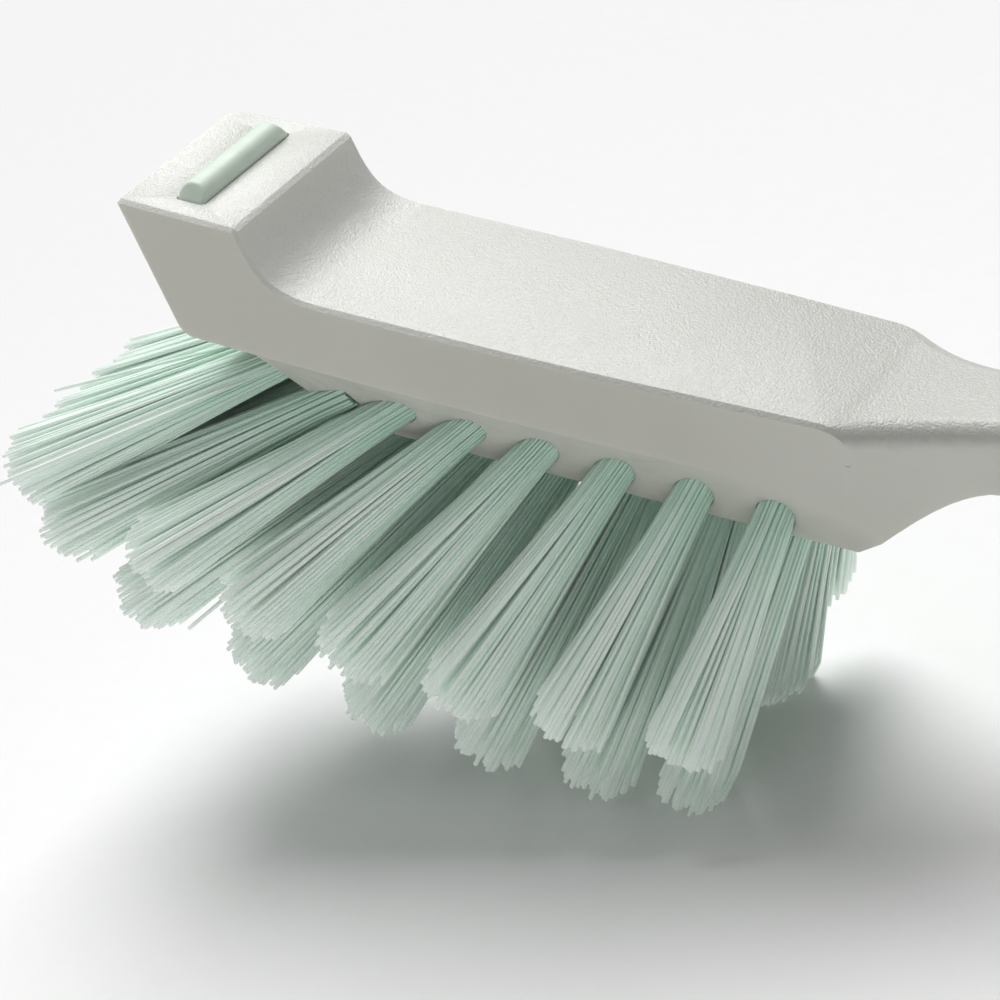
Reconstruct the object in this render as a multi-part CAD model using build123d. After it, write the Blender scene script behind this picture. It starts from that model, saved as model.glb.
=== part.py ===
"""A dish-washing brush with a handle, lying at rest on a table.

The one-piece plastic moulding is head, neck and handle together. The nose of the head carries a
soft rubber bar. Tufts of filament are pressed into blind holes in the block under the head, each
folded over a small metal anchor at the bottom of its hole.

Everything is laid out in the head's own axes: x runs from the nose to the handle, y across the
head, z up from the head's top face. The finished pieces are then tilted, nose up, until the brush
lies on the tips of its two rearmost inner tufts and on the underside of the handle's end. The
origin of the part is on the table, in the brush's middle plane, halfway along its bounding box.
All lengths are in millimetres and all angles in degrees.
"""
from build123d import *
import math
import os

# Head, seen from above
head_width = 26.0
head_middle_width = 27.2
head_end_width = 23.4
head_length = 98.0

# Head, seen from the side
nose_height = 8.1
nose_top_length = 17.9
nose_sweep_length = 11.0
nose_rake = 7.8
side_depth = 9.5
nose_corner_radius = 3.0
nose_foot_radius = 2.4
head_edge = 0.5
nose_sweep_shares = ((0.22, 0.28), (0.36, 0.0))

# Block that holds the tufts, under the head
block_inset = 0.4
block_front = 16.5
block_front_run = 12.5
block_depth = 20.9
block_end_rise = 2.1
block_foot_width = 15.0
block_sweep_shares = (0.42, 0.36, 0.66)

# Neck and handle
neck_length = 20.0
neck_width = 13.4
neck_thickness = 9.0
neck_rise = 2.6
neck_draw_shares = (0.2, 0.5)
grip_reach = 60.0
grip_width = 21.0
grip_thickness = 13.0
grip_rise = 3.2
handle_length = 150.0
handle_end_width = 18.0
handle_end_thickness = 10.0
handle_end_drop = 4.0
handle_top_radius = 2.6
handle_edge = 1.6
hang_hole_radius = 4.2
hang_hole_inset = 12.0

# Soft bar in the nose
pad_length = 19.6
pad_width = 4.0
pad_proud = 2.0
pad_seat_depth = 2.0
pad_setback = 8.95
pad_clearance = 0.15
pad_round_share = 0.86
pad_end_slope = 1.4
pad_corner_radius = 0.5

# Tuft holes, tufts and anchors
hole_radius = 2.5
hole_depth = 5.8
tuft_clearance = 0.06
hole_splay_share = 0.5
outer_hole_splay_share = 1.2
strand_width = 0.66
strand_overlap = 0.6
inner_ring_radius = 0.95
outer_ring_radius = 1.8
inner_ring_count = 5
outer_ring_count = 8
ring_turn_share = 0.6
tip_spread_share = 1.5
length_spread = 0.9
length_step_share = 0.618
trim_depth = 0.5
anchor_thickness = 0.4
anchor_height = 1.6
anchor_clearance = 0.12

# Rows of tufts along the block
row_start = 35.2
row_end = 88.2
row_count = 6
outer_row_drop = 6.6
inner_row_offset = 3.8
outer_tip_offset = 19.2
inner_tip_offset = 12.2

# Length and forward lean of the tufts at the front and the rear end of each row
outer_length_front = 43.4
outer_length_rear = 34.8
outer_front_lean_angle = 49.8
outer_rear_lean_angle = 14.4
inner_length_front = 55.4
inner_length_rear = 43.9
inner_front_lean_angle = 48.7
inner_rear_lean_angle = 14.4
lean_curve_share = 1.4

# Tufts on the front facet of the block
front_row_shares = (0.27, 0.7)
front_inner_offset = 2.85
front_outer_offset = 8.5
front_tip_share = 1.47
front_length_upper = 49.4
front_length_lower = 52.2
front_upper_lean_angle = 57.5
front_lower_lean_angle = 55.1

overrun = 6.0
tolerance = 0.01

# Sizes that follow from the ones above
half_width = head_width / 2
block_half_width = half_width - block_inset
block_foot_half = block_foot_width / 2
block_drop = block_depth - side_depth
facet_share = (block_half_width - block_foot_half) / block_drop
block_back = block_front + block_front_run
sweep_end = nose_top_length + nose_sweep_length
neck_x = head_length + neck_length
neck_bottom = neck_rise - neck_thickness
grip_x = neck_x + grip_reach
grip_top = neck_rise + grip_rise
end_x = head_length + handle_length
end_top = grip_top - handle_end_drop
end_bottom = end_top - handle_end_thickness
tuft_radius = hole_radius - tuft_clearance
tall = 2 * (block_depth + nose_height)


def underside(x):
    """Height of the block's flat underside at a distance from the nose."""
    share = (x - block_back) / (head_length - block_back)
    return block_end_rise * share - block_depth


def between(first, last, share):
    """Value a share of the way from the first to the last."""
    return first + (last - first) * share


def across(outline):
    """Solid with an outline drawn in x and z, wider than the head."""
    return Pos(Y=head_middle_width) * extrude(Plane.XZ * outline, 2 * head_middle_width)


def upright(outline):
    """Solid with an outline drawn in x and y, taller than the moulding."""
    return Pos(Z=-tall) * extrude(outline, 2 * tall)


def side_outline():
    """The moulding seen from the side, from the nose to the handle's end, without the tuft block."""
    foot = (nose_rake, -side_depth)
    sweep = Bezier(
        (nose_top_length, nose_height),
        *(
            (nose_top_length + nose_sweep_length * along, nose_height * up)
            for along, up in nose_sweep_shares
        ),
        (sweep_end, 0),
    )
    top = Spline(
        (head_length, 0),
        (neck_x, neck_rise),
        (grip_x, grip_top),
        (end_x, end_top),
        tangents=((1, 0), (1, -handle_end_drop / grip_reach)),
    )
    below = Spline(
        (end_x, end_bottom),
        (grip_x, grip_top - grip_thickness),
        (neck_x, neck_bottom),
        tangents=((-1, 0), (-1, 0)),
    )
    under = Polyline(below @ 1, (head_length, -side_depth), foot, (0, nose_height), sweep @ 0)
    face = make_face([sweep, Line(sweep @ 1, top @ 0), top, Line(top @ 1, below @ 0), below, under])
    corner = face.vertices().sort_by_distance((*foot, 0))[0]
    return fillet(corner, nose_foot_radius)


def barrel_edge(side, inset):
    """Long edge of the head seen from above; an inset draws it in, except at the head's end."""
    return ThreePointArc(
        (0, side * (half_width - inset)),
        (head_length / 2, side * (head_middle_width / 2 - inset)),
        (head_length, side * head_end_width / 2),
    )


def neck_edge(side):
    """Edge of the neck seen from above, drawn in behind the head's end."""
    neck_y = side * neck_width / 2
    head_y = side * head_end_width / 2
    return Bezier(
        (head_length, head_y),
        (head_length + neck_length * neck_draw_shares[0], (neck_y + head_y) / 2),
        (head_length + neck_length * neck_draw_shares[1], neck_y),
        (neck_x, neck_y),
    )


def grip_edge(side):
    """Edge of the handle seen from above, from the neck to where the end turns round."""
    return Spline(
        (neck_x, side * neck_width / 2),
        (grip_x, side * grip_width / 2),
        (end_x - handle_end_width / 2, side * handle_end_width / 2),
        tangents=((1, 0), (1, 0)),
    )


def plan_outline():
    """The moulding seen from above."""
    near = [barrel_edge(-1, 0), neck_edge(-1), grip_edge(-1)]
    far = [barrel_edge(1, 0), neck_edge(1), grip_edge(1)]
    front = Line(near[0] @ 0, far[0] @ 0)
    end = ThreePointArc(near[-1] @ 1, (end_x, 0), far[-1] @ 1)
    face = make_face([front, end] + near + far)
    corner = face.vertices().sort_by_distance((0, half_width, 0))[0]
    return fillet(corner, nose_corner_radius)


def head_rim(moulding):
    """Edges round the top of the nose and along the top of the head."""
    rim = []
    for edge in moulding.edges():
        box = edge.bounding_box()
        on_top = box.min.Z > -tolerance and box.max.X < head_length + tolerance
        level = box.size.Z < tolerance
        on_sweep = box.min.X > nose_top_length - tolerance
        crossing = box.size.X < tolerance and box.min.X > nose_top_length + tolerance
        if on_top and (level or on_sweep) and not crossing:
            rim.append(edge)
    return rim


def handle_rim(moulding, start, upper):
    """Edges along the top, or the underside, of the moulding behind a given start."""
    rim = []
    for edge in moulding.edges():
        box = edge.bounding_box()
        behind = box.min.X > start - tolerance and box.size.X > tolerance
        if behind and (edge.center().Z > 0) == upper:
            rim.append(edge)
    return rim


def upper_moulding():
    """Nose, flat top of the head, neck and handle, down to where the tuft block begins."""
    moulding = across(side_outline()) & upright(plan_outline())
    moulding = fillet(handle_rim(moulding, head_length, True), handle_top_radius)
    moulding = chamfer(head_rim(moulding), head_edge)
    moulding = chamfer(handle_rim(moulding, neck_x, False), handle_edge)
    return moulding


def tuft_block():
    """Block under the head: a facet on each side and below the nose, swept up into the neck."""
    block_end = (head_length, underside(head_length))
    neck_share, head_share, drop_share = block_sweep_shares
    sweep = Bezier(
        (neck_x, neck_bottom),
        (neck_x - neck_length * neck_share, neck_bottom),
        (head_length + neck_length * head_share, underside(head_length) * drop_share),
        block_end,
    )
    rest = Polyline(
        block_end,
        (block_back, -block_depth),
        (block_front, -side_depth),
        (block_front, -side_depth / 2),
        (neck_x, -side_depth / 2),
        (neck_x, neck_bottom),
    )
    plan = [
        Line((0, block_inset - half_width), (0, half_width - block_inset)),
        barrel_edge(-1, block_inset),
        barrel_edge(1, block_inset),
        neck_edge(-1),
        neck_edge(1),
        Line((neck_x, -neck_width / 2), (neck_x, neck_width / 2)),
    ]
    section = Polyline(
        (-head_width, 0),
        (-head_width, -side_depth),
        (-block_half_width, -side_depth),
        (-block_foot_half, -block_depth),
        (block_foot_half, -block_depth),
        (block_half_width, -side_depth),
        (head_width, -side_depth),
        (head_width, 0),
        (-head_width, 0),
    )
    block = across(make_face([sweep, rest])) & upright(make_face(plan))
    return block & extrude(Plane.YZ * make_face(section), end_x)


def tuft_sites():
    """Name, mouth, tip and hole axis of every tuft, in the head's axes."""
    sites = {}
    outer_z = -side_depth - outer_row_drop
    outer_y = block_half_width - facet_share * outer_row_drop
    for side, side_name in ((-1, "left"), (1, "right")):
        for index in range(row_count):
            share = index / (row_count - 1)
            x = between(row_start, row_end, share)
            lift = underside(x) + block_depth
            lean = math.radians(between(outer_front_lean_angle, outer_rear_lean_angle, share))
            length = between(outer_length_front, outer_length_rear, share**2)
            mouth = Vector(x, side * outer_y, outer_z + lift * outer_row_drop / block_drop)
            tip = leaning_tip(mouth, side * outer_tip_offset, length, lean)
            axis = hole_axis(mouth, tip, outer_hole_splay_share)
            sites[f"tuft_outer_{side_name}_{index + 1}"] = (mouth, tip, axis)
            front_share = (1 - share) ** lean_curve_share
            lean = math.radians(between(inner_rear_lean_angle, inner_front_lean_angle, front_share))
            length = between(inner_length_front, inner_length_rear, share)
            mouth = Vector(x, side * inner_row_offset, underside(x))
            tip = leaning_tip(mouth, side * inner_tip_offset, length, lean)
            axis = hole_axis(mouth, tip, hole_splay_share)
            sites[f"tuft_inner_{side_name}_{index + 1}"] = (mouth, tip, axis)
    front_rows = (
        ("upper", front_row_shares[0], front_length_upper, front_upper_lean_angle),
        ("lower", front_row_shares[1], front_length_lower, front_lower_lean_angle),
    )
    front_offsets = (-front_outer_offset, -front_inner_offset, front_inner_offset, front_outer_offset)
    for row_name, share, length, angle in front_rows:
        for number, y in enumerate(front_offsets, 1):
            mouth = Vector(block_front + block_front_run * share, y, -side_depth - block_drop * share)
            tip = leaning_tip(mouth, y * front_tip_share, length, math.radians(angle))
            axis = hole_axis(mouth, tip, hole_splay_share)
            sites[f"tuft_front_{row_name}_{number}"] = (mouth, tip, axis)
    return sites


def leaning_tip(mouth, tip_y, length, lean):
    """Tip of a tuft of a given length that leans towards the nose and ends at a given y."""
    forward = length * math.sin(lean)
    sideways = tip_y - mouth.Y
    down = math.sqrt(length**2 - forward**2 - sideways**2)
    return mouth + Vector(-forward, sideways, -down)


def hole_axis(mouth, tip, splay_share):
    """Direction out of a tuft's hole, with a share of the sideways splay of its tuft."""
    way = tip - mouth
    return Vector(way.X, way.Y * splay_share, way.Z).normalized()


def hole_plane(mouth, axis):
    """Plane on the floor of a tuft's hole."""
    return Plane(origin=mouth - axis * hole_depth, x_dir=Vector(0, 1, 0).cross(axis), z_dir=axis)


def resting_tilt(sites):
    """Angle that lays the handle's end and the rearmost inner tufts on one level surface."""
    tip = sites[f"tuft_inner_left_{row_count}"][1]
    return math.degrees(math.atan2(end_bottom - tip.Z, end_x - handle_edge - tip.X))


def strand_roots():
    """Places of the strands in a tuft: one in the middle and two rings round it."""
    roots = [(0.0, 0.0)]
    for radius, count in ((inner_ring_radius, inner_ring_count), (outer_ring_radius, outer_ring_count)):
        for index in range(count):
            angle = math.tau * (index + ring_turn_share) / count
            roots.append((radius * math.cos(angle), radius * math.sin(angle)))
    return roots


def tuft(mouth, tip, axis, floor_normal, floor_height):
    """Folded root of a tuft with its strands; a floor height, where given, trims them level."""
    way = tip - mouth
    local = Plane(origin=mouth, x_dir=Vector(0, 1, 0).cross(way), z_dir=way)
    slot_height = anchor_height + anchor_clearance
    slot = Box(2 * hole_radius, anchor_thickness + 2 * anchor_clearance, 2 * slot_height)
    root = hole_plane(mouth, axis) * (extrude(Circle(tuft_radius), hole_depth) - slot)
    strands = []
    for index, (u, v) in enumerate(strand_roots()):
        reach = way.length - length_spread * (index * length_step_share % 1)
        start = local.from_local_coords(Vector(u, v, -strand_overlap))
        end = local.from_local_coords(Vector(u * tip_spread_share, v * tip_spread_share, reach))
        if floor_height is not None:
            drop = floor_height - trim_depth - floor_normal.dot(start)
            end = start + (end - start) * (drop / floor_normal.dot(end - start))
        base = Plane(origin=start, x_dir=local.x_dir, z_dir=way)
        outline = base * RegularPolygon(strand_width / math.sqrt(2), 4)
        strands.append(extrude(outline, (end - start).length, dir=(end - start).normalized()))
    return root + strands


def anchor(mouth, axis):
    """Flat metal anchor standing on the bottom of a tuft's hole, across it."""
    width = 2 * (hole_radius - anchor_clearance)
    plate = Box(width, anchor_thickness, anchor_height, align=(Align.CENTER, Align.CENTER, Align.MIN))
    return hole_plane(mouth, axis) * plate


def tuft_hole(mouth, axis):
    """Tool that drills a tuft's blind hole."""
    return hole_plane(mouth, axis) * extrude(Circle(hole_radius), hole_depth + 2 * overrun)


def pad_seat():
    """Tool that cuts the pocket of the soft bar into the nose."""
    outline = RectangleRounded(
        pad_width + 2 * pad_clearance, pad_length + 2 * pad_clearance, pad_corner_radius + pad_clearance
    )
    return Pos(pad_setback, 0, nose_height - pad_seat_depth) * extrude(outline, pad_seat_depth + overrun)


def nose_pad():
    """Soft bar with a rounded top and sloped ends, standing on the floor of its pocket."""
    height = pad_seat_depth + pad_proud
    half = pad_length / 2
    top_half = half - pad_end_slope
    points = [(-half, 0), (-half, pad_seat_depth), (-top_half, height)]
    points += [(-y, z) for y, z in reversed(points)]
    profile = make_face(Polyline(*points, close=True))
    bar = extrude(Plane.YZ * profile, pad_width / 2, both=True)
    bar = fillet(bar.edges().filter_by(Axis.Y).group_by(Axis.Z)[-1], pad_proud * pad_round_share)
    ends = [edge for edge in bar.edges() if edge.center().Z > 0 and abs(edge.center().Y) > top_half]
    bar = fillet(ends, pad_corner_radius)
    return Pos(pad_setback, 0, nose_height - pad_seat_depth) * bar


def brush_body(sites):
    """The moulding with its tuft holes, the pocket in the nose and the hole to hang it by."""
    body = upper_moulding() + tuft_block()
    hang_hole = Pos(end_x - hang_hole_inset, 0, -tall) * extrude(Circle(hang_hole_radius), 2 * tall)
    holes = [tuft_hole(mouth, axis) for mouth, _, axis in sites.values()]
    return body - [pad_seat(), hang_hole] - holes


def brush():
    """All pieces in the head's axes, by name, with the tilt and height that lay them at rest."""
    sites = tuft_sites()
    tilt = resting_tilt(sites)
    normal = Vector(-math.sin(math.radians(tilt)), 0, math.cos(math.radians(tilt)))
    floor_height = normal.dot(sites[f"tuft_inner_left_{row_count}"][1])
    pieces = {"brush_body": brush_body(sites), "nose_pad": nose_pad()}
    anchors = {}
    for name, (mouth, tip, axis) in sites.items():
        rests = name.startswith("tuft_inner") and name.endswith(str(row_count))
        pieces[name] = tuft(mouth, tip, axis, normal, floor_height if rests else None)
        row = "anchors_" + name.split("_", 1)[1].rsplit("_", 1)[0]
        anchors.setdefault(row, []).append(anchor(mouth, axis))
    for row, members in anchors.items():
        pieces[row] = Compound(members)
    return pieces, tilt, floor_height


def main():
    os.makedirs("parts", exist_ok=True)
    pieces, tilt, floor_height = brush()
    lay_down = Pos(Z=-floor_height) * Rot(Y=tilt)
    below_floor = Pos(Z=-tall) * Box(2 * end_x, 2 * tall, 2 * tall)
    placed = {}
    for name, piece in pieces.items():
        shape = lay_down * piece
        if shape.bounding_box().min.Z < 0 and name.startswith("tuft_inner"):
            shape -= below_floor
        placed[name] = shape
    middle = Compound(list(placed.values())).bounding_box().center()
    for name, shape in placed.items():
        export_step(Pos(X=-middle.X) * shape, f"parts/{name}.step")


if __name__ == "__main__":
    main()
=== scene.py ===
import bpy
import math
import random
from mathutils import Matrix, Vector


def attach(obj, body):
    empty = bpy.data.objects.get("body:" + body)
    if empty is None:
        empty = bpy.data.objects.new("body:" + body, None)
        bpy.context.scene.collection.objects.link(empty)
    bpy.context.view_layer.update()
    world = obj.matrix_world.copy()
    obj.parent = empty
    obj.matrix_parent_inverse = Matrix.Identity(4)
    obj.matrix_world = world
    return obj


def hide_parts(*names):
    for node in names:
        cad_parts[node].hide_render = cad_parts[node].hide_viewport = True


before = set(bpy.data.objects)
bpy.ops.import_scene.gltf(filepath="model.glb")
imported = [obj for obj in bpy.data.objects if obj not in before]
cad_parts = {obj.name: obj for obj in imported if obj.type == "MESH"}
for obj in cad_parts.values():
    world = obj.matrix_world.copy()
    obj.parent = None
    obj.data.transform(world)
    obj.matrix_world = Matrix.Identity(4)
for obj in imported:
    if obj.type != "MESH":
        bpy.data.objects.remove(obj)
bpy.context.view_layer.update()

# The head's own axes in the row frame: tilt of the resting brush, shift along x and height, in metres
TILT = math.radians(17.2712314)
HEAD_SHIFT = -0.10177445
HEAD_HEIGHT = 0.0809853
MILLIMETRE = 0.001
ACROSS = Vector((0, 1, 0))

# The head and its tuft block, in millimetres in the head's axes
HEAD_LENGTH = 98
BLOCK_FRONT = 16.5
BLOCK_FRONT_RUN = 12.5
BLOCK_HALF_WIDTH = 12.6
BLOCK_FOOT_HALF_WIDTH = 7.5
SIDE_DEPTH = 9.5
BLOCK_DROP = 11.4
BLOCK_DEPTH = SIDE_DEPTH + BLOCK_DROP
BLOCK_END_RISE = 2.1

# The rows along the block: places and lengths in millimetres, leans in degrees from straight down
ROW_START = 35.2
ROW_LENGTH = 53.0
ROW_COUNT = 6
REAR_LEAN = 14.4
OUTER_ROW_DROP = 6.6
OUTER_TIP_OFFSET = 19.2
OUTER_FRONT_LENGTH = 43.4
OUTER_REAR_LENGTH = 34.8
OUTER_FRONT_LEAN = 49.8
OUTER_SPLAY = 1.2
INNER_ROW_OFFSET = 3.8
INNER_TIP_OFFSET = 12.2
INNER_FRONT_LENGTH = 55.4
INNER_REAR_LENGTH = 43.9
INNER_FRONT_LEAN = 48.7
INNER_LEAN_CURVE = 1.4
SPLAY = 0.5

# The two rows below the nose: name, share of the facet, length and lean
FRONT_ROWS = (("upper", 0.27, 49.4, 57.5), ("lower", 0.7, 52.2, 55.1))
FRONT_PLACES = (-8.5, -2.85, 2.85, 8.5)
FRONT_TIP_SHARE = 1.47

# The filaments, in millimetres; a fan is the bundle's width at its tips over its width at the mouth
FILAMENTS = 190
BASE_RADIUS = 0.21
TIP_RADIUS = 0.3
BUNDLE_RADIUS = 2.28
OUTER_FAN = 2.55
OUTER_FAN_LOSS = 0.35
INNER_FAN = 2.6
INNER_FAN_LOSS = 0.4
FRONT_FAN = 2.6
FRONT_FAN_LOSS = 0.02
SIDES = 6
STEPS = 8
FIRST_SEED = 1000
GOLDEN_TURN = 2.39996
TURN_SCATTER = 0.08
SIZE_SCATTER = 0.06
ROOT_DEPTH = 5.4
RIM_HEIGHT = 0.8
HOLE_WAY_SHARE = 0.6
KNEE_SHARE = 0.14
HEEL_SHARE = 0.3
FAN_SCATTER = 0.03
TIP_SCATTER = 0.12
LENGTH_LOSS = 0.7
LENGTH_GAIN = 0.5
DOME_SHARE = 0.025
STRAY_SHARE = 0.025
STRAY_LOSS = 3.5
STRAY_SCATTER = 0.9
FRONT_STRAY_SCATTER = 2.3
CLUMPS = 11
CLUMP_TURN = 2.4
CLUMP_TURN_SCATTER = 0.4
CLUMP_PULL = 0.6
CLUMP_TONE = 0.4

# How the edges of the body and the pad are softened, in metres and degrees
WELD_DISTANCE = 0.000002
FLAT_ANGLE = 0.6
EDGE_WIDTH = 0.00035
EDGE_SEGMENTS = 3
EDGE_ANGLE = 28
PAD_VOXEL = 0.00016
PAD_ROUNDS = 8

# The photographed view: the camera's place and its right, down and forward directions
CAMERA_PLACE = (211.1, -265.3, 188.6)
CAMERA_RIGHT = (0.8676, 0.4934, -0.0619)
CAMERA_DOWN = (0.2419, -0.5275, -0.8144)
CAMERA_AHEAD = (-0.4345, 0.6916, -0.577)
CAMERA_LENS = 108
CAMERA_SENSOR = 36

# The studio
FLOOR_REACH = 4
KEY_TOWARD = (0.26, -0.52, -1.0)
KEY_SOFTNESS = 44
KEY_STRENGTH = 3.3
FILL_PLACE = (-110, -70, 150)
FILL_AIM = (10, 0, -20)
FILL_ENERGY = 0.062
FILL_SIZE = 0.14
WORLD_STRENGTH = 0.29


def turned_point(x, y, z):
    """The head's axes turned into the row frame's."""
    return Vector((
        x * math.cos(TILT) + z * math.sin(TILT),
        y,
        -x * math.sin(TILT) + z * math.cos(TILT),
    ))


def rest(x, y, z):
    """Point given in millimetres in the head's axes, in metres in the row frame."""
    point = turned_point(x * MILLIMETRE, y * MILLIMETRE, z * MILLIMETRE)
    return point + Vector((HEAD_SHIFT, 0, HEAD_HEIGHT))


def turned(x, y, z):
    """Direction given in the head's axes, in the row frame."""
    return turned_point(x, y, z).normalized()


class Nodes:
    """A material's nodes, made one after another."""

    def __init__(self, name):
        self.material = bpy.data.materials.new(name)
        self.material.use_nodes = True
        self.tree = self.material.node_tree
        self.shader = self.tree.nodes["Principled BSDF"]

    def add(self, kind, **inputs):
        node = self.tree.nodes.new(kind)
        for key, value in inputs.items():
            if hasattr(node, key):
                setattr(node, key, value)
            else:
                self.put(node, key, value)
        return node

    def put(self, node, key, value):
        socket = node.inputs[key]
        if isinstance(value, bpy.types.NodeSocket):
            self.tree.links.new(value, socket)
        else:
            socket.default_value = value

    def shade(self, key, value):
        self.put(self.shader, key, value)

    def coordinates(self, kind):
        return self.add("ShaderNodeTexCoord").outputs[kind]

    def axes(self, vector):
        return self.add("ShaderNodeSeparateXYZ", Vector=vector).outputs

    def noise(self, vector, scale, detail=2.0, rough=0.5):
        node = self.add("ShaderNodeTexNoise", Scale=scale, Detail=detail, Roughness=rough)
        self.put(node, "Vector", vector)
        return node.outputs["Fac"]

    def ramp(self, fac, *stops):
        node = self.add("ShaderNodeValToRGB", Fac=fac)
        elements = node.color_ramp.elements
        while len(elements) < len(stops):
            elements.new(0.5)
        for element, (place, colour) in zip(elements, stops):
            element.position = place
            if not hasattr(colour, "__len__"):
                colour = (colour,) * 3
            element.color = (*colour, 1)
        return node.outputs["Color"]

    def math(self, operation, a, b, clamp=False):
        node = self.add("ShaderNodeMath", operation=operation, use_clamp=clamp)
        self.put(node, 0, a)
        self.put(node, 1, b)
        return node.outputs[0]

    def mix(self, fac, a, b):
        node = self.add("ShaderNodeMix", data_type="RGBA")
        factor, first, second = (node.inputs[index] for index in (0, 6, 7))
        for socket, value in ((factor, fac), (first, a), (second, b)):
            if isinstance(value, bpy.types.NodeSocket):
                self.tree.links.new(value, socket)
            else:
                socket.default_value = (*value, 1)
        return node.outputs[2]

    def bump(self, height, strength, distance):
        node = self.add("ShaderNodeBump", Strength=strength, Distance=distance, Height=height)
        return node.outputs["Normal"]


def moulding_material():
    """Off-white moulded plastic: fine spark-eroded grain on the faces that look up, satin sides, and
    painted light and shade from the nose to the neck.
    """
    n = Nodes("moulding")
    where = n.coordinates("Object")
    facing = n.add("ShaderNodeNewGeometry").outputs["Normal"]
    up = n.add("ShaderNodeVectorMath", operation="DOT_PRODUCT")
    n.put(up, 0, facing)
    n.put(up, 1, turned(0, 0, 1))
    top = n.ramp(up.outputs["Value"], (0.02, 0.0), (0.55, 1.0))
    cloud = n.noise(where, 60, 3)
    fleck = n.noise(where, 900, 2)
    side = n.ramp(cloud, (0.3, (0.585, 0.585, 0.523)), (0.7, (0.615, 0.615, 0.553)))
    # Painted light and shade: the faces that look up are painted lighter near the nose and darker towards
    # the neck, and the sides lighter near the neck; the tone changes slowly from the nose to the neck,
    # over the tenth of a metre behind the nose.
    painted_falloff = n.math("MULTIPLY", n.math("ADD", n.axes(where)["X"], 0.1), 10.0, clamp=True)
    upper = n.ramp(
        painted_falloff, (0.0, (0.72, 0.725, 0.69)), (0.2, (0.66, 0.665, 0.63)),
        (0.5, (0.565, 0.57, 0.538)), (1.0, (0.48, 0.485, 0.453)),
    )
    upper = n.mix(n.math("MULTIPLY", cloud, 0.16), upper, (0.5, 0.505, 0.475))
    # Painted light: the sides are painted lighter near the neck.
    side = n.mix(n.ramp(painted_falloff, (0.7, 0.0), (1.0, 1.0)), side, (0.71, 0.715, 0.655))
    colour = n.mix(top, side, upper)
    n.shade("Base Color", n.mix(n.math("MULTIPLY", fleck, 0.06), colour, (0.52, 0.53, 0.49)))
    fine = n.noise(where, 3600, 1.5)
    coarse = n.noise(where, 1500, 1.0)
    grain = n.math("ADD", n.math("MULTIPLY", fine, 0.75), n.math("MULTIPLY", coarse, 0.35))
    height = n.math("MULTIPLY", grain, n.math("ADD", n.math("MULTIPLY", top, 0.94), 0.06))
    n.shade("Normal", n.bump(height, 0.7, 0.00026))
    n.shade("Roughness", n.ramp(n.noise(where, 140, 4), (0.35, 0.34), (0.7, 0.44)))
    n.shade("Subsurface Weight", 0.3)
    n.shade("Subsurface Radius", (1.0, 0.9, 0.7))
    n.shade("Subsurface Scale", 0.0018)
    n.shade("Specular IOR Level", 0.5)
    return n.material


def bar_material():
    """Soft sage rubber with a dull skin."""
    n = Nodes("soft_bar")
    where = n.coordinates("Object")
    cloud = n.noise(where, 300, 3)
    n.shade("Base Color", n.ramp(cloud, (0.3, (0.57, 0.66, 0.57)), (0.7, (0.62, 0.71, 0.62))))
    n.shade("Roughness", n.ramp(n.noise(where, 700, 2), (0.3, 0.42), (0.7, 0.55)))
    n.shade("Normal", n.bump(n.noise(where, 2600, 2), 0.25, 0.00008))
    n.shade("Subsurface Weight", 0.15)
    n.shade("Subsurface Radius", (0.8, 0.9, 0.8))
    n.shade("Subsurface Scale", 0.0008)
    return n.material


def filament_material():
    """Pale mint filament, each one slightly different, with painted shade that makes it darker and
    greener inside the bundle and near its mouth, painted light that makes it paler towards its end, and a
    painted glow at its end.
    """
    n = Nodes("filament")
    island = n.add("ShaderNodeNewGeometry").outputs["Random Per Island"]
    where = n.coordinates("Object")
    # U runs from a bundle's middle to its skin and V along a filament to its cut end.
    outward, along, _ = n.axes(n.coordinates("UV"))
    colour = n.ramp(
        island,
        (0.0, (0.64, 0.84, 0.72)), (0.35, (0.76, 0.93, 0.82)),
        (0.7, (0.85, 0.965, 0.89)), (1.0, (0.93, 0.985, 0.95)),
    )
    # Painted shade: filaments towards a bundle's middle are painted darker and greener; each clump's
    # random tone shifts how far this reaches.
    painted_core_shade = n.ramp(outward, (0.2, 1.0), (0.9, 0.0))
    colour = n.mix(n.math("MULTIPLY", painted_core_shade, 0.6), colour, (0.46, 0.74, 0.585))
    # Painted shade: darker and greener near the mouth, where the head shades the bundle.
    colour = n.mix(n.ramp(along, (0.12, 0.75), (0.55, 0.0)), colour, (0.44, 0.66, 0.53))
    # Painted light: paler from about a third of the way along towards the cut end.
    painted_tip_light = n.ramp(along, (0.35, 0.0), (0.8, 0.5), (0.97, 0.8), (1.0, 1.0))
    colour = n.mix(painted_tip_light, colour, (0.9, 0.985, 0.93))
    stain = n.noise(where, 700, 3)
    n.shade("Base Color", n.mix(n.math("MULTIPLY", stain, 0.06), colour, (0.52, 0.66, 0.57)))
    n.shade("Roughness", n.ramp(island, (0.0, 0.28), (1.0, 0.42)))
    # Painted glow: the filaments glow towards their cut ends, a painted light that stands in for the
    # light a clear filament carries there
    painted_tip_glow = n.ramp(
        along, (0.5, 0.0), (0.75, (0.015, 0.0165, 0.0155)),
        (0.93, (0.05, 0.056, 0.051)), (1.0, (0.12, 0.132, 0.122)),
    )
    n.shade("Emission Color", painted_tip_glow)
    n.shade("Emission Strength", 1.0)
    n.shade("Normal", n.bump(n.noise(where, 1800, 2), 0.05, 0.00002))
    n.shade("Specular IOR Level", 0.5)
    return n.material


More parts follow.
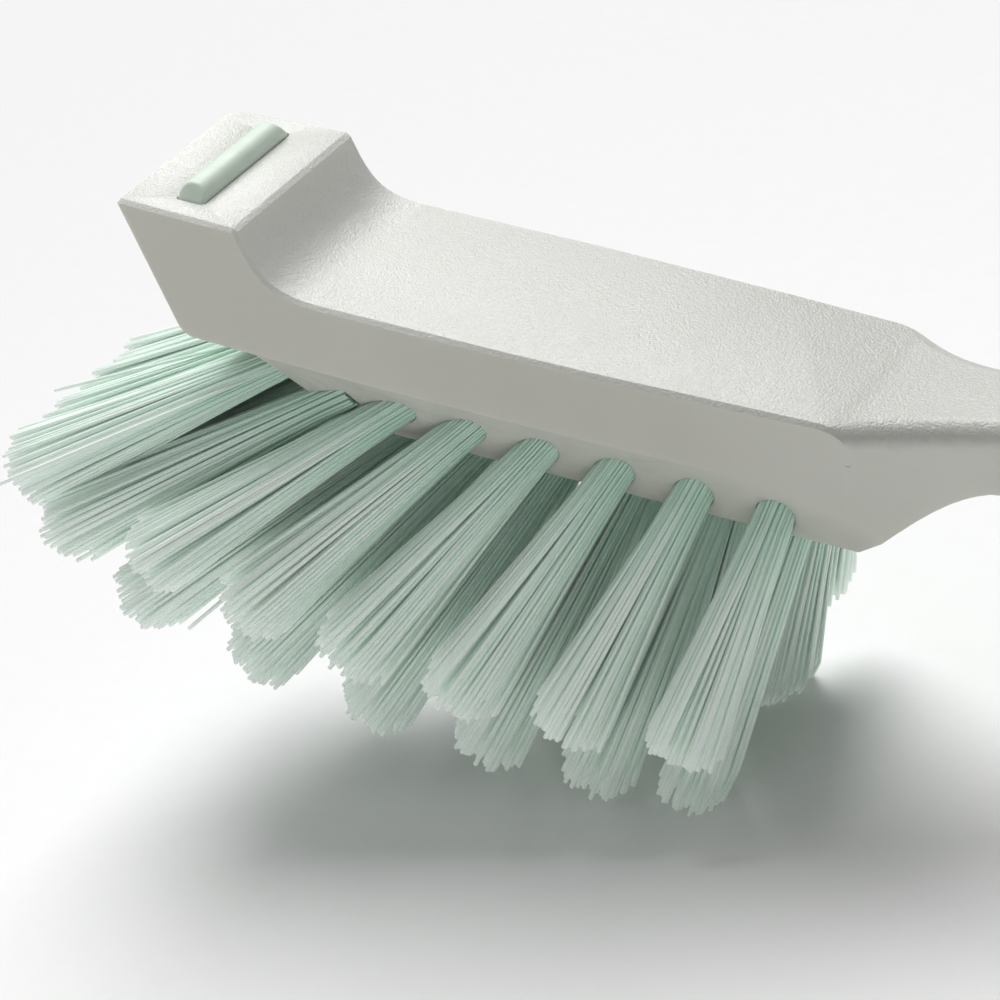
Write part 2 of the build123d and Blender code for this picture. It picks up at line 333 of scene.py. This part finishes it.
def anchor_material():
    """Plain brass strip with the faint streaks of rolling."""
    n = Nodes("anchor_metal")
    where = n.coordinates("Object")
    cloud = n.noise(where, 900, 3)
    n.shade("Base Color", n.ramp(cloud, (0.3, (0.55, 0.4, 0.18)), (0.7, (0.72, 0.56, 0.28))))
    n.shade("Roughness", n.ramp(n.noise(where, 1500, 2), (0.3, 0.25), (0.7, 0.45)))
    n.shade("Normal", n.bump(n.noise(where, 2500, 2), 0.2, 0.00005))
    n.shade("Metallic", 1.0)
    return n.material


def floor_material():
    """Matt white paper."""
    n = Nodes("floor")
    where = n.coordinates("Object")
    cloud = n.noise(where, 260, 4)
    n.shade("Base Color", n.ramp(cloud, (0.3, (0.75, 0.75, 0.75)), (0.7, (0.76, 0.76, 0.76))))
    n.shade("Roughness", 0.85)
    n.shade("Normal", n.bump(n.noise(where, 420, 4), 0.12, 0.0002))
    n.shade("Specular IOR Level", 0.2)
    return n.material


def add_object(name, data):
    piece = bpy.data.objects.new(name, data)
    bpy.context.collection.objects.link(piece)
    return piece


def finished(piece, node, material):
    """Bake a piece's modifiers, give it its material and let it take the node's place."""
    graph = bpy.context.evaluated_depsgraph_get()
    piece.data = bpy.data.meshes.new_from_object(piece.evaluated_get(graph))
    piece.modifiers.clear()
    piece.data.materials.clear()
    piece.data.materials.append(material)
    piece.data.polygons.foreach_set("use_smooth", [True] * len(piece.data.polygons))
    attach(piece, "root")
    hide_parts(node)


def node_copy(node, name):
    """A node's shape as a piece of its own, with the joints between its faces closed."""
    piece = add_object(name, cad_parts[node].data.copy())
    piece.modifiers.new("weld", "WELD").merge_threshold = WELD_DISTANCE
    return piece


def broken_edges(node, name, width, material):
    """A node's shape with every sharp edge broken by a small rounded bevel."""
    piece = node_copy(node, name)
    flat = piece.modifiers.new("flat", "DECIMATE")
    flat.decimate_type = "DISSOLVE"
    flat.angle_limit = math.radians(FLAT_ANGLE)
    bevel = piece.modifiers.new("bevel", "BEVEL")
    bevel.width = width
    bevel.segments = EDGE_SEGMENTS
    bevel.limit_method = "ANGLE"
    bevel.angle_limit = math.radians(EDGE_ANGLE)
    piece.modifiers.new("triangles", "TRIANGULATE")
    level = piece.modifiers.new("level", "WEIGHTED_NORMAL")
    level.keep_sharp = False
    level.weight = 60
    finished(piece, node, material)
    return piece


def relaxed(node, name, voxel, rounds, material):
    """A node's shape, remeshed finely and relaxed, so that every edge is soft."""
    piece = node_copy(node, name)
    remesh = piece.modifiers.new("remesh", "REMESH")
    remesh.mode = "VOXEL"
    remesh.voxel_size = voxel
    relax = piece.modifiers.new("relax", "SMOOTH")
    relax.factor = 0.5
    relax.iterations = rounds
    finished(piece, node, material)
    return piece


def between(start, end, share):
    return start + (end - start) * share


def leaning(mouth, tip_y, length, lean):
    """Tip of a tuft that leans towards the nose by an angle and ends at a set place across."""
    forward = length * math.sin(lean)
    side = tip_y - mouth.y
    down = math.sqrt(length ** 2 - forward ** 2 - side ** 2)
    return mouth + Vector((-forward, side, -down))


def block_rise(x):
    """How far the block's underside has risen at x."""
    flat_start = BLOCK_FRONT + BLOCK_FRONT_RUN
    return BLOCK_END_RISE * (x - flat_start) / (HEAD_LENGTH - flat_start)


class Tuft:
    """A tuft's axes at its mouth and towards its tip, and the fan of its filaments."""

    def __init__(self, name, mouth, tip, splay, fan):
        way = tip - mouth
        self.name = name
        self.mouth = mouth
        self.fan = fan
        self.length = way.length
        self.out = way.normalized()
        self.right = ACROSS.cross(self.out).normalized()
        self.over = self.out.cross(self.right)
        self.hole = Vector((way.x, way.y * splay, way.z)).normalized()
        self.hole_right = ACROSS.cross(self.hole).normalized()
        self.hole_over = self.hole.cross(self.hole_right)
        self.stray_scatter = FRONT_STRAY_SCATTER if name.startswith("front_upper") else STRAY_SCATTER


def outer_tuft(side, side_name, index):
    """A tuft on the block's sloping side facet."""
    share = index / (ROW_COUNT - 1)
    x = ROW_START + ROW_LENGTH * share
    level = OUTER_ROW_DROP / BLOCK_DROP
    width = between(BLOCK_HALF_WIDTH, BLOCK_FOOT_HALF_WIDTH, level)
    mouth = Vector((x, side * width, -SIDE_DEPTH - OUTER_ROW_DROP + block_rise(x) * level))
    lean = math.radians(between(OUTER_FRONT_LEAN, REAR_LEAN, share))
    length = between(OUTER_FRONT_LENGTH, OUTER_REAR_LENGTH, share ** 2)
    tip = leaning(mouth, side * OUTER_TIP_OFFSET, length, lean)
    fan = OUTER_FAN - OUTER_FAN_LOSS * share ** 2
    return Tuft(f"outer_{side_name}_{index + 1}", mouth, tip, OUTER_SPLAY, fan)


def inner_tuft(side, side_name, index):
    """A tuft on the block's flat underside."""
    share = index / (ROW_COUNT - 1)
    x = ROW_START + ROW_LENGTH * share
    mouth = Vector((x, side * INNER_ROW_OFFSET, block_rise(x) - BLOCK_DEPTH))
    lean = REAR_LEAN + (INNER_FRONT_LEAN - REAR_LEAN) * (1 - share) ** INNER_LEAN_CURVE
    length = between(INNER_FRONT_LENGTH, INNER_REAR_LENGTH, share)
    tip = leaning(mouth, side * INNER_TIP_OFFSET, length, math.radians(lean))
    return Tuft(f"inner_{side_name}_{index + 1}", mouth, tip, SPLAY, INNER_FAN - INNER_FAN_LOSS * share)


def tufts():
    """Every tuft, row by row."""
    found = []
    for side, side_name in ((-1, "left"), (1, "right")):
        for index in range(ROW_COUNT):
            found.append(outer_tuft(side, side_name, index))
            found.append(inner_tuft(side, side_name, index))
    for row, share, length, lean in FRONT_ROWS:
        for number, y in enumerate(FRONT_PLACES, 1):
            mouth = Vector((BLOCK_FRONT + BLOCK_FRONT_RUN * share, y, -SIDE_DEPTH - BLOCK_DROP * share))
            tip = leaning(mouth, y * FRONT_TIP_SHARE, length, math.radians(lean))
            fan = FRONT_FAN - FRONT_FAN_LOSS * (y - FRONT_PLACES[0])
            found.append(Tuft(f"front_{row}_{number}", mouth, tip, SPLAY, fan))
    return found


def clump_centres(rng):
    """Places in a unit disc that the filaments gather round, each with a tone of its own."""
    clumps = []
    for index in range(CLUMPS):
        angle = index * CLUMP_TURN + rng.uniform(-CLUMP_TURN_SCATTER, CLUMP_TURN_SCATTER)
        share = math.sqrt((index + 0.6) / CLUMPS)
        tone = rng.uniform(-CLUMP_TONE, CLUMP_TONE)
        clumps.append((share * math.cos(angle), share * math.sin(angle), tone))
    return clumps


def filament_line(tuft, u, v, clump, rng):
    """Middle line of one filament, from the bottom of its hole to its cut end."""
    side_step = (tuft.hole_right * u + tuft.hole_over * v) * BUNDLE_RADIUS
    start = tuft.mouth + tuft.hole * RIM_HEIGHT + side_step
    pull = CLUMP_PULL * rng.random()
    spread = BUNDLE_RADIUS * tuft.fan * rng.gauss(1, FAN_SCATTER)
    end_u = between(u, clump[0], pull) * spread + rng.gauss(0, TIP_SCATTER)
    end_v = between(v, clump[1], pull) * spread + rng.gauss(0, TIP_SCATTER)
    reach = tuft.length + rng.uniform(-LENGTH_LOSS, LENGTH_GAIN) - DOME_SHARE * (end_u ** 2 + end_v ** 2)
    if rng.random() < STRAY_SHARE:
        reach -= rng.uniform(0.0, STRAY_LOSS)
        end_u += rng.gauss(0, tuft.stray_scatter)
        end_v += rng.gauss(0, tuft.stray_scatter)
    end = tuft.mouth + tuft.out * reach + tuft.right * end_u + tuft.over * end_v
    leaving = tuft.hole * HOLE_WAY_SHARE + (end - start).normalized() * (1 - HOLE_WAY_SHARE)
    knee = start + leaving * tuft.length * KNEE_SHARE
    heel = end - (end - knee).normalized() * tuft.length * HEEL_SHARE
    line = [tuft.mouth - tuft.hole * ROOT_DEPTH + side_step]
    for step in range(STEPS):
        t = step / (STEPS - 1)
        line.append(
            start * (1 - t) ** 3 + knee * 3 * t * (1 - t) ** 2 + heel * 3 * t * t * (1 - t) + end * t ** 3
        )
    return line


def filament_rings(line, scale):
    """Points of the rings round a filament's middle line, none of them below the floor."""
    points = []
    for step, point in enumerate(line):
        ahead = line[min(step + 1, STEPS)] - line[max(step - 1, 0)]
        a = ahead.cross(ACROSS).normalized()
        b = ahead.cross(a).normalized()
        radius = scale * between(BASE_RADIUS, TIP_RADIUS, max(step - 1, 0) / (STEPS - 1))
        for side in range(SIDES):
            turn = math.tau * side / SIDES
            place = rest(*(point + a * radius * math.cos(turn) + b * radius * math.sin(turn)))
            points.append((place.x, place.y, max(place.z, 0.0)))
    return points


def filament_faces(first):
    """Faces of a filament whose points start at first: its wall and its cut end."""
    faces = []
    for step in range(STEPS):
        for side in range(SIDES):
            p = first + step * SIDES + side
            q = first + step * SIDES + (side + 1) % SIDES
            faces.append((p, q, q + SIDES, p + SIDES))
    faces.append(tuple(first + STEPS * SIDES + side for side in range(SIDES)))
    return faces


def tuft_piece(tuft, seed, material):
    """One tuft: round filaments packed in the hole that part and fan out towards their cut ends."""
    rng = random.Random(seed)
    clumps = clump_centres(rng)
    points, faces, coords = [], [], []
    for index in range(FILAMENTS):
        share = math.sqrt((index + 0.5) / FILAMENTS)
        angle = index * GOLDEN_TURN + rng.uniform(-TURN_SCATTER, TURN_SCATTER)
        u = share * math.cos(angle)
        v = share * math.sin(angle)
        clump = min(clumps, key=lambda other: (other[0] - u) ** 2 + (other[1] - v) ** 2)
        line = filament_line(tuft, u, v, clump, rng)
        faces += filament_faces(len(points))
        points += filament_rings(line, rng.uniform(1 - SIZE_SCATTER, 1 + SIZE_SCATTER))
        for step in range(STEPS + 1):
            coords += [(share + clump[2], step / STEPS)] * SIDES
    mesh = bpy.data.meshes.new("tuft_" + tuft.name)
    mesh.from_pydata(points, [], faces)
    layer = mesh.uv_layers.new(name="UVMap")
    for loop in mesh.loops:
        layer.data[loop.index].uv = coords[loop.vertex_index]
    mesh.polygons.foreach_set("use_smooth", [len(face) == 4 for face in faces])
    mesh.materials.append(material)
    mesh.update()
    piece = add_object("filaments_" + tuft.name, mesh)
    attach(piece, "root")
    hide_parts("tuft_" + tuft.name)
    return piece


def aim(thing, toward):
    """Turn a light to shine along a direction."""
    thing.rotation_mode = "QUATERNION"
    thing.rotation_quaternion = Vector(toward).to_track_quat("-Z", "Y")


def add_floor():
    """Paper that the brush lies on."""
    reach = FLOOR_REACH
    mesh = bpy.data.meshes.new("floor")
    mesh.from_pydata([(-reach, -reach, 0), (reach, -reach, 0), (reach, reach, 0), (-reach, reach, 0)],
                     [], [(0, 1, 2, 3)])
    mesh.materials.append(floor_material())
    add_object("floor", mesh)


def add_lights():
    """A large soft key light behind the brush, a small fill over the nose and a pale surround."""
    key = bpy.data.lights.new("key", "SUN")
    key.energy = KEY_STRENGTH
    key.angle = math.radians(KEY_SOFTNESS)
    aim(add_object("key", key), KEY_TOWARD)
    fill = bpy.data.lights.new("fill", "AREA")
    fill.energy = FILL_ENERGY
    fill.size = FILL_SIZE
    fill = add_object("fill", fill)
    fill.location = rest(*FILL_PLACE)
    aim(fill, rest(*FILL_AIM) - fill.location)
    world = bpy.data.worlds.new("studio")
    world.use_nodes = True
    background = world.node_tree.nodes["Background"]
    background.inputs["Color"].default_value = (1, 1, 1, 1)
    background.inputs["Strength"].default_value = WORLD_STRENGTH
    bpy.context.scene.world = world


def add_camera():
    """The camera keeps the photograph's relation to the head."""
    camera = bpy.data.cameras.new("camera")
    camera.lens = CAMERA_LENS
    camera.sensor_width = CAMERA_SENSOR
    camera.clip_start = 0.01
    camera.clip_end = 50
    camera = add_object("camera", camera)
    rows = (turned(*CAMERA_RIGHT), -turned(*CAMERA_DOWN), -turned(*CAMERA_AHEAD))
    turn = Matrix(rows).transposed().to_4x4()
    camera.matrix_world = Matrix.Translation(rest(*CAMERA_PLACE)) @ turn
    bpy.context.scene.camera = camera


body = broken_edges("brush_body", "body_moulding", EDGE_WIDTH, moulding_material())
pad = relaxed("nose_pad", "soft_nose_bar", PAD_VOXEL, PAD_ROUNDS, bar_material())
filament = filament_material()
for number, tuft in enumerate(tufts()):
    tuft_piece(tuft, FIRST_SEED + number, filament)
anchor = anchor_material()
for name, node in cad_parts.items():
    if name.startswith("anchors"):
        node.data.materials.clear()
        node.data.materials.append(anchor)

add_floor()
add_lights()
add_camera()
bpy.context.scene.view_settings.view_transform = "Standard"
